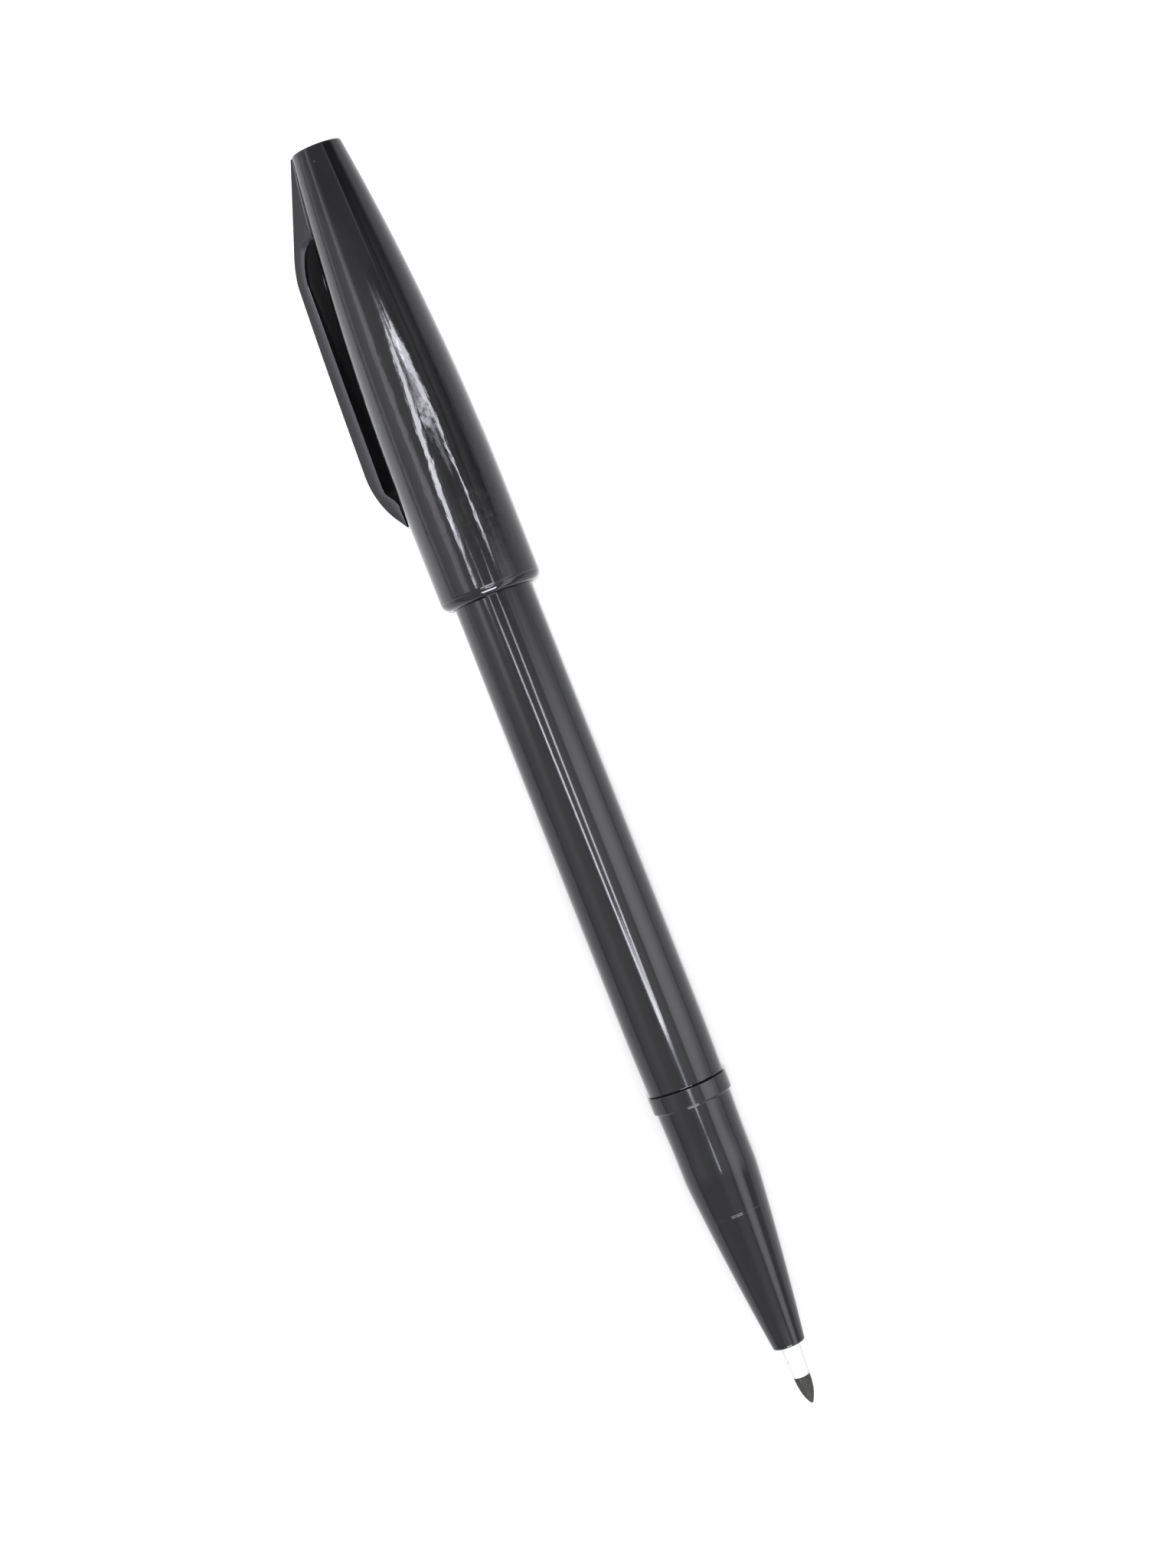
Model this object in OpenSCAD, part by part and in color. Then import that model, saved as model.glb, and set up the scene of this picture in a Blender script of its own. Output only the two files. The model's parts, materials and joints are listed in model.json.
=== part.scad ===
// Fibre-tip brush pen lying on its side, with its cap pushed on the back of the barrel.
// Each piece is drawn on a standing pen: tip at the origin, axis up, clip towards +X.
// lay() then turns the pen down so that its axis runs along X and the tip points to +X.

/* [Tip] */
// Length of the fibre tip that stands out of its holder
nib_len = 3.5; // [2.5:0.1:5]
// Diameter of the fibre tip at its base
nib_d = 2.0; // [1.6:0.05:2.4]
// Diameter of the thin rod behind the tip
stem_d = 1.24; // [1.0:0.02:1.3]
// How far the rod reaches into the ink reservoir
stem_in_core = 6; // [3:0.5:12]

/* [Tip holder] */
// Length of the holder's nozzle that stands out of the section
nozzle_len = 4.1; // [3:0.1:6]
// Diameter of the nozzle at its front end
nozzle_front_d = 1.9; // [1.7:0.05:2.1]
// Diameter of the nozzle where it leaves the section
nozzle_root_d = 2.3; // [2.2:0.05:2.6]
// Diameter of the holder's body inside the section
holder_body_d = 3.2; // [3.0:0.05:3.4]
// Length of the front stretch of the section that guides the nozzle
nozzle_guide = 2.2; // [1.5:0.1:3]
// Length of the holder's body up to its flange
holder_body_len = 14; // [10:0.5:16]
// Thickness of the holder's flange
flange_t = 1.2; // [0.8:0.1:2]
// How far the flange stands out from the holder's body
flange_step = 0.9; // [0.5:0.05:1]
// Length of the holder's tube behind the flange
holder_tail = 8; // [4:0.5:8]
// Number of vent grooves along the holder's body
vent_count = 4; // [3:1:6]

/* [Section] */
// Length of the grip section from its front face to the back of the collar
section_len = 33.9; // [30:0.1:42]
// Diameter of the section's front face
nose_d = 4.1; // [3.9:0.05:4.6]
// Radius of the edge round the front face
nose_round = 0.3; // [0.1:0.05:0.45]
// Diameter where the taper meets the straight part
taper_end_d = 8.8; // [8.4:0.05:8.9]
// How far the taper bows out at its middle
taper_bow = 0.12; // [0:0.01:0.3]
// Width of the collar
collar_w = 2.1; // [1.2:0.1:3]
// How far the collar stands above the barrel
collar_step = 0.1; // [0.05:0.01:0.3]
// Distance from the collar to the cap seat
seat_back = 5.4; // [4:0.1:7]
// Length of the cap seat
seat_len = 4; // [3.4:0.1:5]
// How much the radius grows from the cap seat to the foot of the collar
collar_foot_step = 0.15; // [0:0.01:0.2]
// Distance from the cap seat to the start of the taper
seat_to_taper = 1.3; // [0.5:0.1:2]
// Distance from the front face to the hairline round the taper
hairline_at = 17.5; // [14:0.1:20]
// Width of the hairline
hairline_w = 0.16; // [0.1:0.01:0.3]
// Depth of the hairline
hairline_depth = 0.06; // [0.03:0.01:0.1]
// Length of the spigot that plugs into the barrel
spigot_len = 8; // [6:0.5:12]

/* [Barrel] */
// Diameter of the barrel
barrel_d = 9.72; // [9.2:0.02:13]
// Length of the barrel with its rear plug
barrel_len = 86.2; // [70:0.1:110]
// How much the barrel's radius narrows towards the collar
front_narrowing = 0.14; // [0:0.01:0.2]
// Length of the stretch that narrows towards the collar
front_narrowing_len = 6; // [3:0.5:12]
// Wall of the barrel
barrel_wall = 0.96; // [0.9:0.02:1.2]
// Wall of the barrel round the section's spigot
socket_wall = 0.76; // [0.7:0.02:0.85]
// Length of the narrower tail that the cap is pushed onto
tail_len = 17.5; // [14:0.1:20]
// How much smaller in radius the tail and the cap seat are than the barrel
seat_step = 0.36; // [0.3:0.01:0.45]
// Wall of the tail
tail_wall = 0.75; // [0.65:0.01:0.85]
// Number of ribs that hold the reservoir in the barrel
rib_count = 4; // [3:1:8]
// Width of each rib in the barrel
rib_w = 0.7; // [0.5:0.05:1]

/* [Rear plug] */
// Thickness of the plug's head
plug_head = 1.5; // [1:0.1:2.5]
// Length of the plug inside the barrel
plug_in = 6; // [4:0.5:10]
// Wall of the plug's hollow part
plug_wall = 0.8; // [0.6:0.05:1]
// Radius of the edge round the plug's head
plug_round = 0.5; // [0.2:0.05:0.8]

/* [Cap] */
// Length of the cap
cap_len = 57.2; // [54:0.1:72]
// Wall of the cap where it is widest
cap_wall = 1.36; // [1.2:0.02:1.6]
// How much the cap's radius narrows from its widest ring to the mouth
skirt_draft = 0.05; // [0:0.01:0.1]
// Distance from the mouth to the cap's widest ring
skirt_len = 12; // [10:0.5:16]
// Diameter across the cap's flat top
cap_top_d = 6.26; // [6:0.05:7]
// Radius of the edge round the cap's top
top_round = 0.3; // [0.1:0.05:0.5]
// Radius of the edge round the mouth
mouth_round = 1.1; // [0.4:0.05:1.15]
// Distance from the mouth to the grip ring inside the cap
ring_at = 6; // [5:0.1:6.4]
// Width of the grip ring
ring_w = 3; // [2:0.1:3.4]
// How much wider in radius than the cap seat the cap's bore is behind the grip ring
relief = 0.25; // [0.15:0.01:0.4]
// Wall of the cap beside the inner cap
upper_wall = 1.25; // [1.1:0.05:1.4]
// Thickness of the cap's top
top_wall = 2.3; // [1.5:0.1:3]
// Number of ribs that hold the inner cap
cap_rib_count = 6; // [3:1:8]
// Width of each rib in the cap
cap_rib_w = 0.8; // [0.6:0.05:1]

/* [Inner cap] */
// Diameter of the inner cap's bore
inner_bore_d = 6.0; // [5.9:0.05:6.2]
// Wall of the inner cap
inner_wall = 0.5; // [0.4:0.05:0.5]
// Thickness of the inner cap's closed end
inner_end = 1; // [0.6:0.1:1.5]
// Room left in front of the tip when the cap closes over it
nib_room = 3.2; // [1:0.1:3.5]

/* [Clip] */
// Distance from the cap's top to the end of the clip's foot
clip_len = 45.8; // [42:0.1:46]
// Width of the clip
clip_w = 4; // [3:0.1:5]
// Distance from the cap's top to the clip's bend
bend_at = 12.9; // [12:0.1:13.5]
// Distance from the cap's top to the clip's flexing root
hinge_at = 14.5; // [14.4:0.1:16]
// Distance from the cap's top to the start of the window under the clip
window_at = 9.7; // [8:0.1:10.5]
// Distance from the cap's top to where the clip's wedge grows out of it
wedge_at = 0.3; // [0.2:0.1:2]
// How far the wedge's outer face starts inside the edge of the cap's top
wedge_inset = 0.57; // [0.4:0.01:1]
// How far the corner of the clip's bend lies inside the outer face of its flexing root
bend_inset = 0.24; // [0.1:0.02:0.4]
// Gap between the clip and the cap at the flexing root
gap_root = 2.0; // [1.6:0.05:2.4]
// Gap between the clip and the cap above the foot
gap_foot = 1.35; // [1:0.05:1.8]
// Thickness of the clip at its flexing root
clip_root_t = 1.26; // [1:0.02:1.5]
// Thickness of the clip above the foot
clip_belly_t = 1.8; // [1.4:0.05:2.2]
// How far the clip's outer face bows out
clip_bow = 0.2; // [0:0.01:0.3]
// Length of the clip's rounded end, with its foot
foot_len = 7.3; // [6:0.1:8]
// Length of the foot's flat pad
pad_len = 3.2; // [2:0.1:3.5]
// Run of the slope between the clip's inner face and the pad
hook_run = 1.7; // [1:0.1:2]

/* [Ink reservoir] */
// Thickness of the film round the fibre core
film_t = 0.08; // [0.05:0.01:0.15]
// Air gap between the reservoir and the tail's bore
air_gap = 0.4; // [0.3:0.02:0.6]
// Distance from the holder's back end to the reservoir
core_gap = 4; // [2:0.5:6]

/* [Fits] */
// Radial clearance of the cap's mouth on the barrel
mouth_clear = 0.08; // [0.03:0.01:0.1]
// Radial clearance of the grip ring on its seat
ring_clear = 0.02; // [0.01:0.005:0.05]
// Radial clearance round the clip's flexing root
root_clear = 0.03; // [0.02:0.005:0.08]
// Gap between the clip's foot and the cap
foot_clear = 0.05; // [0.03:0.01:0.1]
// Clearance of the nozzle in the section's front hole
nozzle_clear = 0.05; // [0.02:0.01:0.1]
// Gap between the barrel's end and the inner cap
end_clear = 0.5; // [0.3:0.1:1]
// Gap between the grip ring and the barrel's shoulder
stop_gap = 0.3; // [0.2:0.05:0.5]
// Overlap of pieces that are pressed into each other
press = 0.02; // [0.005:0.005:0.03]

/* [Hidden] */
$fn = 96;
eps = 0.01;
curve_steps = 12;

// Radii of the fits, all from the barrel's own size
barrel_r = barrel_d / 2;
seat_r = barrel_r - seat_step;
socket_r = barrel_r - socket_wall;
bore_r = barrel_r - barrel_wall;
tail_bore_r = seat_r - tail_wall;
reservoir_r = tail_bore_r - air_gap;
core_r = reservoir_r - film_t;
cap_r = barrel_r + mouth_clear + cap_wall;
mouth_r = cap_r - skirt_draft;
cap_top_r = cap_top_d / 2;
inner_r = inner_bore_d / 2 + inner_wall;

// Stations along the pen, measured from the tip
nose_z = nib_len + nozzle_len;
body_z = nose_z + nozzle_guide;
flange_z = body_z + holder_body_len;
holder_end_z = flange_z + flange_t + holder_tail;
collar_back_z = nose_z + section_len;
collar_z = collar_back_z - collar_w;
seat_top_z = collar_z - seat_back;
seat_z = seat_top_z - seat_len;
taper_z = seat_z - seat_to_taper;
core_z = holder_end_z + core_gap;
barrel_end_z = collar_back_z + barrel_len;
tube_end_z = barrel_end_z - plug_head;
core_end_z = tube_end_z - plug_in;
shoulder_z = barrel_end_z - tail_len;
cap_z = shoulder_z + stop_gap - ring_at;
cap_top_z = cap_z + cap_len;
widest_z = cap_z + skirt_len;
inner_z = barrel_end_z + end_clear;
inner_floor_z = cap_z + collar_z + nib_room;
inner_back_z = inner_floor_z + inner_end;

// The inner cap is a straight cup that tapers only where the cap round it grows too narrow
relief_r = seat_r + relief;
inner_side_r = cap_radius(inner_back_z) - upper_wall;
inner_back_r = min(inner_r, inner_side_r);
inner_taper_z = min(
  inner_floor_z - 1,
  inner_z + (inner_back_z - inner_z) * (relief_r - inner_r) / (relief_r - inner_side_r)
);

// Stations of the clip
foot_z = cap_top_z - clip_len;
belly_z = foot_z + foot_len;
pad_z = foot_z + pad_len;
hook_z = pad_z + hook_run;
bend_z = cap_top_z - bend_at;
hinge_z = cap_top_z - hinge_at;
foot_x = cap_r + foot_clear;
hook_x = cap_radius(hook_z) + gap_foot;
belly_x = hook_x + clip_belly_t;
root_in_x = cap_radius(hinge_z) + gap_root;
root_out_x = root_in_x + clip_root_t;
hinge_x = (root_in_x + root_out_x) / 2;
hinge_r = clip_root_t / 2;
bend_x = root_out_x - bend_inset;
window_z = cap_top_z - window_at;
wedge_z = cap_top_z - wedge_at;
wedge_x = cap_top_r - wedge_inset;

// The pen rolls until the clip's edge and the cap both lie on the table
roll = asin(cap_r / norm([belly_x, clip_w / 2])) - atan(clip_w / 2 / belly_x);
side_reach = belly_x * cos(roll) + clip_w / 2 * sin(roll);

// Radius of the cap's outside: nearly straight at the skirt, then a long arc up to the flat top
function cap_radius(z) = z < widest_z
  ? mouth_r + (cap_r - mouth_r) * (z - cap_z) / skirt_len
  : cap_r - (cap_r - cap_top_r) * pow((z - widest_z) / (cap_top_z - widest_z), 2);

// Points from a to b on a line that bows out by h at its middle
function bowed(a, b, h) = [
  for (i = [0:curve_steps]) let(v = i / curve_steps) a + (b - a) * v + [4 * h * v * (1 - v), 0]
];

// Points on a curve from a to c that is pulled towards b
function pulled(a, b, c) = [
  for (i = [0:curve_steps]) let(v = i / curve_steps)
    pow(1 - v, 2) * a + 2 * v * (1 - v) * b + pow(v, 2) * c
];

// Points of a round edge about centre c, from angle a0 to a1
function rounded(c, r, a0, a1) = [
  for (i = [0:6]) let(a = a0 + (a1 - a0) * i / 6) c + r * [cos(a), sin(a)]
];

module lay() {
  translate([cap_top_z / 2, (side_reach - cap_r) / 2, cap_r])
    rotate([0, -90, 0])
      rotate([0, 0, -90 - roll])
        children();
}

module turned(points) {
  rotate_extrude()
    polygon(points);
}

// A round bar or hole from one station to another
module bar(r, z0, z1) {
  translate([0, 0, z0])
    cylinder(r = r, h = z1 - z0);
}

module cone(r0, r1, z0, z1) {
  translate([0, 0, z0])
    cylinder(r1 = r0, r2 = r1, h = z1 - z0);
}

// Thin walls along the axis, spread evenly round it
module ribs(count, width, reach, z0, z1) {
  for (i = [0:count - 1])
    rotate([0, 0, (i + 0.5) * 360 / count])
      translate([0, -width / 2, z0])
        cube([reach, width, z1 - z0]);
}

// A side outline in X and Z, drawn out to a width across the pen
module side_slab(points, width) {
  rotate([90, 0, 0])
    linear_extrude(height = width, center = true)
      polygon(points);
}

module fibre_tip() {
  nib_r = nib_d / 2;
  tip_round = 0.18;
  color([0.16, 0.16, 0.17])
    lay() {
      turned(concat(
        [[0, 0]],
        [for (i = [1:5]) let(a = i * 12) [tip_round * sin(a), tip_round * (1 - cos(a))]],
        pulled([tip_round, tip_round * 0.75], [nib_r, nib_len * 0.42], [nib_r, nib_len]),
        [[0, nib_len]]
      ));
      bar(stem_d / 2, nib_len - eps, core_z + stem_in_core);
    }
}

module tip_holder() {
  body_r = holder_body_d / 2;
  flange_r = body_r + flange_step;
  vent_w = 0.5;
  vent_depth = 0.35;
  overrun = 1;
  color([0.95, 0.95, 0.93])
    lay()
      difference() {
        union() {
          cone(nozzle_front_d / 2, nozzle_root_d / 2, nib_len, nose_z);
          bar(nozzle_root_d / 2, nose_z, body_z);
          bar(body_r, body_z, flange_z);
          bar(flange_r, flange_z, flange_z + flange_t);
          bar(body_r, flange_z + flange_t, holder_end_z);
        }
        bar(stem_d / 2 - press / 2, nib_len - overrun, holder_end_z + overrun);
        for (i = [0:vent_count - 1])
          rotate([0, 0, i * 360 / vent_count])
            translate([body_r - vent_depth, -vent_w / 2, body_z - eps])
              cube([flange_step + overrun, vent_w, flange_z + flange_t - body_z + 2 * eps]);
      }
}

module grip_section() {
  nose_r = nose_d / 2;
  taper_end_r = taper_end_d / 2;
  collar_r = barrel_r + collar_step;
  collar_foot_r = seat_r + collar_foot_step;
  collar_round = 0.12;
  hole_r = nozzle_root_d / 2 + nozzle_clear;
  body_r = holder_body_d / 2;
  flange_room = 0.2;
  reservoir_room = 0.08;
  room_r = body_r + flange_step + flange_room;
  wide_r = reservoir_r + reservoir_room;
  hair_z = nose_z + hairline_at;
  hair_v = (hair_z - nose_z - nose_round) / (taper_z - nose_z - nose_round);
  hair_r = nose_r + (taper_end_r - nose_r) * hair_v + 4 * taper_bow * hair_v * (1 - hair_v);
  color([0.10, 0.10, 0.11])
    lay()
      difference() {
        union() {
          turned(concat(
            [[0, nose_z]],
            rounded([nose_r - nose_round, nose_z + nose_round], nose_round, -90, 0),
            bowed([nose_r, nose_z + nose_round], [taper_end_r, taper_z], taper_bow),
            [[0, taper_z]]
          ));
          cone(taper_end_r, seat_r, taper_z, seat_z);
          bar(seat_r, seat_z, seat_top_z);
          cone(seat_r, collar_foot_r, seat_top_z, collar_z);
          turned(concat(
            [[0, collar_z]],
            rounded([collar_r - collar_round, collar_z + collar_round], collar_round, -90, 0),
            rounded([collar_r - collar_round, collar_back_z - collar_round], collar_round, 0, 90),
            [[0, collar_back_z]]
          ));
          bar(socket_r + press, collar_back_z, collar_back_z + spigot_len);
        }
        bar(hole_r, nose_z - 1, body_z);
        bar(body_r - press, body_z, flange_z);
        cone(room_r, wide_r, flange_z, core_z - 1);
        bar(wide_r, core_z - 1, collar_back_z + spigot_len + 1);
        difference() {
          bar(hair_r + 1, hair_z - hairline_w / 2, hair_z + hairline_w / 2);
          bar(hair_r - hairline_depth, hair_z - hairline_w, hair_z + hairline_w);
        }
      }
}

module barrel_tube() {
  ease = 1;
  rib_clear = 0.05;
  socket_z = collar_back_z + spigot_len + 0.5;
  color([0.10, 0.10, 0.11])
    lay()
      difference() {
        union() {
          cone(barrel_r - front_narrowing, barrel_r, collar_back_z, collar_back_z + front_narrowing_len);
          bar(barrel_r, collar_back_z + front_narrowing_len, shoulder_z - ease);
          cone(barrel_r, seat_r, shoulder_z - ease, shoulder_z);
          bar(seat_r, shoulder_z, tube_end_z);
        }
        bar(socket_r, collar_back_z - 1, socket_z);
        difference() {
          bar(bore_r, socket_z - eps, shoulder_z - ease);
          difference() {
            ribs(rib_count, rib_w, bore_r + 1, socket_z + 1.5, shoulder_z);
            bar(reservoir_r + rib_clear, collar_back_z, shoulder_z + 1);
          }
        }
        bar(tail_bore_r, shoulder_z - ease - eps, tube_end_z + 1);
      }
}

module rear_plug() {
  head_inset = 0.05;
  floor_t = plug_head + 0.3;
  head_r = seat_r - head_inset;
  color([0.10, 0.10, 0.11])
    lay()
      difference() {
        union() {
          bar(tail_bore_r + press, core_end_z, tube_end_z);
          turned(concat(
            [[0, tube_end_z], [head_r, tube_end_z]],
            rounded([head_r - plug_round, barrel_end_z - plug_round], plug_round, 0, 90),
            [[0, barrel_end_z]]
          ));
        }
        bar(tail_bore_r - plug_wall, core_end_z - 1, barrel_end_z - floor_t);
      }
}

module ink_reservoir() {
  color([0.25, 0.25, 0.28])
    lay()
      difference() {
        bar(core_r, core_z, core_end_z);
        bar(stem_d / 2 - press / 2, core_z - 1, core_z + stem_in_core);
      }
}

module reservoir_film() {
  film_short = 1;
  color([0.85, 0.87, 0.90, 0.5])
    lay()
      difference() {
        bar(reservoir_r, core_z + film_short, core_end_z - film_short);
        bar(core_r, core_z, core_end_z);
      }
}

// Outline of the wedge that carries the clip, from the cap's top to the flexing root
function wedge_outline() =
  let(
    slope = (bend_x - wedge_x) / (wedge_z - bend_z),
    bend_run = 2.4,
    arch_pull = 0.7,
    arch_rise = 0.9,
    arch_sink = 0.5,
    arch = [cap_radius(window_z) - arch_sink, window_z]
  )
  concat(
    [[1, window_z], [1, wedge_z], [wedge_x, wedge_z]],
    pulled([bend_x - slope * bend_run, bend_z + bend_run], [bend_x, bend_z], [root_out_x, hinge_z]),
    pulled([root_in_x, hinge_z], [root_in_x - arch_pull, window_z - arch_rise], arch)
  );

module cap_shell() {
  core_top_r = cap_radius(cap_top_z - top_wall) - upper_wall;
  lead_in = 0.3;
  end_stop = 0.6;
  rib_start = 4;
  color([0.10, 0.10, 0.11])
    lay()
      difference() {
        union() {
          turned(concat(
            [[0, cap_z]],
            rounded([mouth_r - mouth_round, cap_z + mouth_round], mouth_round, -90, 0),
            [
              for (i = [0:2 * curve_steps])
                let(z = widest_z + (cap_top_z - top_round - widest_z) * i / (2 * curve_steps))
                  [cap_radius(z), z]
            ],
            rounded([cap_radius(cap_top_z - top_round) - top_round, cap_top_z - top_round], top_round, 0, 90),
            [[0, cap_top_z]]
          ));
          side_slab(wedge_outline(), clip_w);
        }
        cone(barrel_r + mouth_clear + lead_in, barrel_r + mouth_clear, cap_z - eps, cap_z + lead_in);
        bar(barrel_r + mouth_clear, cap_z, cap_z + ring_at);
        bar(seat_r + ring_clear, cap_z + ring_at - eps, cap_z + ring_at + ring_w + eps);
        bar(relief_r, cap_z + ring_at + ring_w, inner_z);
        difference() {
          cone(relief_r, inner_side_r, inner_z - eps, inner_back_z);
          difference() {
            ribs(cap_rib_count, cap_rib_w, cap_r, inner_z + rib_start, inner_back_z + 1);
            inner_cup(press);
          }
        }
        cone(inner_back_r - end_stop, core_top_r, inner_back_z - eps, cap_top_z - top_wall);
        translate([hinge_x, 0, hinge_z])
          rotate([90, 0, 0])
            cylinder(r = hinge_r + root_clear, h = clip_w + 2, center = true);
      }
}

// Outside of the inner cap, made smaller in radius by a margin
module inner_cup(margin) {
  bar(inner_r - margin, inner_z, inner_taper_z);
  cone(inner_r - margin, inner_back_r - margin, inner_taper_z - eps, inner_back_z);
}

module inner_cap() {
  lip = 0.15;
  bore_r = inner_bore_d / 2;
  floor_share = (inner_floor_z - inner_taper_z) / (inner_back_z - inner_taper_z);
  floor_r = bore_r + (inner_back_r - inner_r) * floor_share;
  color([0.80, 0.82, 0.80])
    lay()
      difference() {
        inner_cup(0);
        bar(bore_r, inner_z - 1, inner_taper_z);
        cone(bore_r, floor_r, inner_taper_z - eps, inner_floor_z);
        cone(bore_r + lip, bore_r, inner_z - eps, inner_z + lip);
      }
}

// Outline of the clip's arm, from the flexing root to the end of the foot
function arm_outline() =
  let(
    foot_edge = 0.05,
    drop = belly_x - foot_x - foot_edge,
    run = belly_z - foot_z,
    end_r = (pow(run, 2) + pow(drop, 2)) / (2 * drop),
    end_a = asin(run / end_r)
  )
  concat(
    bowed([root_out_x, hinge_z], [belly_x, belly_z], clip_bow),
    [
      for (i = [1:curve_steps])
        let(a = end_a * i / curve_steps)
          [belly_x - end_r * (1 - cos(a)), belly_z - end_r * sin(a)]
    ],
    [[foot_x, foot_z], [foot_x, pad_z], [hook_x, hook_z], [root_in_x, hinge_z]]
  );

module cap_clip() {
  color([0.10, 0.10, 0.11])
    lay() {
      side_slab(arm_outline(), clip_w);
      translate([hinge_x, 0, hinge_z])
        rotate([90, 0, 0])
          cylinder(r = hinge_r, h = clip_w, center = true);
    }
}

fibre_tip();
tip_holder();
grip_section();
barrel_tube();
rear_plug();
ink_reservoir();
reservoir_film();
cap_shell();
inner_cap();
cap_clip();
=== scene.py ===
import json
import math

import bpy
import numpy as np
from bpy.props import FloatProperty, FloatVectorProperty, PointerProperty
from mathutils import Matrix, Vector


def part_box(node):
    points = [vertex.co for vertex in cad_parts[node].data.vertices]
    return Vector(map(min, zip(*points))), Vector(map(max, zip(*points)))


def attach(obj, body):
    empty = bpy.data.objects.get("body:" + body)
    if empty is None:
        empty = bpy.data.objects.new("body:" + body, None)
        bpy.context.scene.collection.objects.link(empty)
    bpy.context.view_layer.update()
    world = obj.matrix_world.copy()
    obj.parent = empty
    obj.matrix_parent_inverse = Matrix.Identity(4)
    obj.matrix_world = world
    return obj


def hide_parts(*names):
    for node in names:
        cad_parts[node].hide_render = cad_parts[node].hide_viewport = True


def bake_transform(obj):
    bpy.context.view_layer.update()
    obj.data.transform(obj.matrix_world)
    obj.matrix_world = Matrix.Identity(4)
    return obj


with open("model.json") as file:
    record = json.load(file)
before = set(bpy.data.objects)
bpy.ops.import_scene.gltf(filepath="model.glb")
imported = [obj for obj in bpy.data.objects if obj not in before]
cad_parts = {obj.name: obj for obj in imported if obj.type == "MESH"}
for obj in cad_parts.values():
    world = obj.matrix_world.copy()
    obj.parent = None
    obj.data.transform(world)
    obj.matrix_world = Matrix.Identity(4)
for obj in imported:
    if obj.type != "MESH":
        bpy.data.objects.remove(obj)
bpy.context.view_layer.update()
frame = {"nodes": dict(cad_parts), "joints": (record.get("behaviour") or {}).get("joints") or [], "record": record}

bl_info = {
    "name": "Brush Pen",
    "version": (1, 0, 0),
    "blender": (4, 5, 0),
    "location": "View3D > Sidebar > Brush Pen",
    "description": "Builds the moulded pieces, the felt tip and the studio of a brush pen",
    "category": "Add Mesh",
}

MM = 0.001
TURNS = 256

# ---------------------------------------------------------------- the pen's own frame
# Shapes are worked out in millimetres on a standing pen: Z runs from the felt tip up to the
# cap's top and X points out of the pen through the middle of the clip.


def station(x):
    """Distance in mm from the felt tip's point back to a frame position x, along the pen."""
    return (TIP_X - x) / MM


def joint(name):
    """The frame's joint of that name."""
    return next(j for j in frame["joints"] if j["name"] == name)


def mount(name):
    """The record's mount of that name."""
    return next(m for m in frame["record"]["mounts"] if m["name"] == name)


TIP_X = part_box("fibre_tip")[1].x
AXIS_AT = sum(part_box("barrel_tube"), Vector()) / 2
TO_CAP = Vector((-1, 0, 0))
CLIP_SIDE = -Vector(joint("clip_flex")["axis"])
CLIP_OUT = CLIP_SIDE.cross(TO_CAP)
PEN_AXES = np.array([CLIP_OUT, CLIP_SIDE, TO_CAP])
PEN_ORIGIN = np.array([TIP_X, AXIS_AT.y, AXIS_AT.z])

HOLDER_END = station(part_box("tip_holder")[1].x)
NOSE = station(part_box("grip_section")[1].x)
COLLAR_BACK = station(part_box("barrel_tube")[1].x)
TUBE_END = station(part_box("barrel_tube")[0].x)
BARREL_END = station(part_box("rear_plug")[0].x)
CAP_MOUTH = station(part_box("cap_shell")[1].x)
CAP_TOP = station(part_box("cap_shell")[0].x)
INNER_FRONT = station(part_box("inner_cap")[1].x)
INNER_BACK = station(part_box("inner_cap")[0].x)
CLIP_FOOT = station(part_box("cap_clip")[1].x)
CLIP_ROOT = station(joint("clip_flex")["pos_m"][0])
SEAT = station(mount("cap_seat")["pos_m"][0])
SEAT_R = mount("cap_seat")["dims"]["r_mm"]
SEAT_LEN = mount("cap_seat")["dims"]["length_mm"]


def radius_of(node):
    """Half of a round node's height, in mm."""
    low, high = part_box(node)
    return (high.z - low.z) / 2 / MM


BARREL_R = radius_of("barrel_tube")
COLLAR_R = radius_of("grip_section")
NIB_R = radius_of("fibre_tip")
CAP_R = AXIS_AT.z / MM
CLIP_W = 4.0

# What fits together: the section's collar and nose, its spigot in the barrel, the plug in the
# tail, the holder in the section and the felt rod in the holder
COLLAR_FRONT = COLLAR_BACK - 2.1
NOSE_R, NOSE_ROUND = 2.05, 0.3
SPIGOT_R, SPIGOT_LEN = 4.10, 8.0
PLUG_R, TAIL_LEN = 3.75, 17.5
HOLDER_R, HOLDER_BODY, HOLDER_FLANGE = 1.6, NOSE + 2.2, NOSE + 16.2
ROD_R = 0.61


def to_frame(points):
    """Standing-pen millimetres to the frame's metres: each column times its own axis, from the tip."""
    return PEN_ORIGIN + (np.asarray(points, float) * MM) @ PEN_AXES


# ---------------------------------------------------------------- curves and grids


def arc(centre, radius, start, end, steps=14):
    """Points of a circle's arc: centre plus radius times (cos a, sin a), with a in degrees."""
    a = np.radians(np.linspace(start, end, steps + 1))
    return np.array(centre) + radius * np.column_stack([np.cos(a), np.sin(a)])


def bowed(a, b, bow, steps=60):
    """A straight run from a to b, pushed sideways in its first coordinate by 4 bow v (1 - v)."""
    v = np.linspace(0, 1, steps + 1)[:, None]
    return np.array(a) + (np.array(b) - np.array(a)) * v + 4 * bow * v * (1 - v) * [1, 0]


def pulled(a, b, c, steps=40):
    """A quadratic curve from a to c that is pulled towards b."""
    v = np.linspace(0, 1, steps + 1)[:, None]
    return (1 - v) ** 2 * np.array(a) + 2 * v * (1 - v) * np.array(b) + v**2 * np.array(c)


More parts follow.
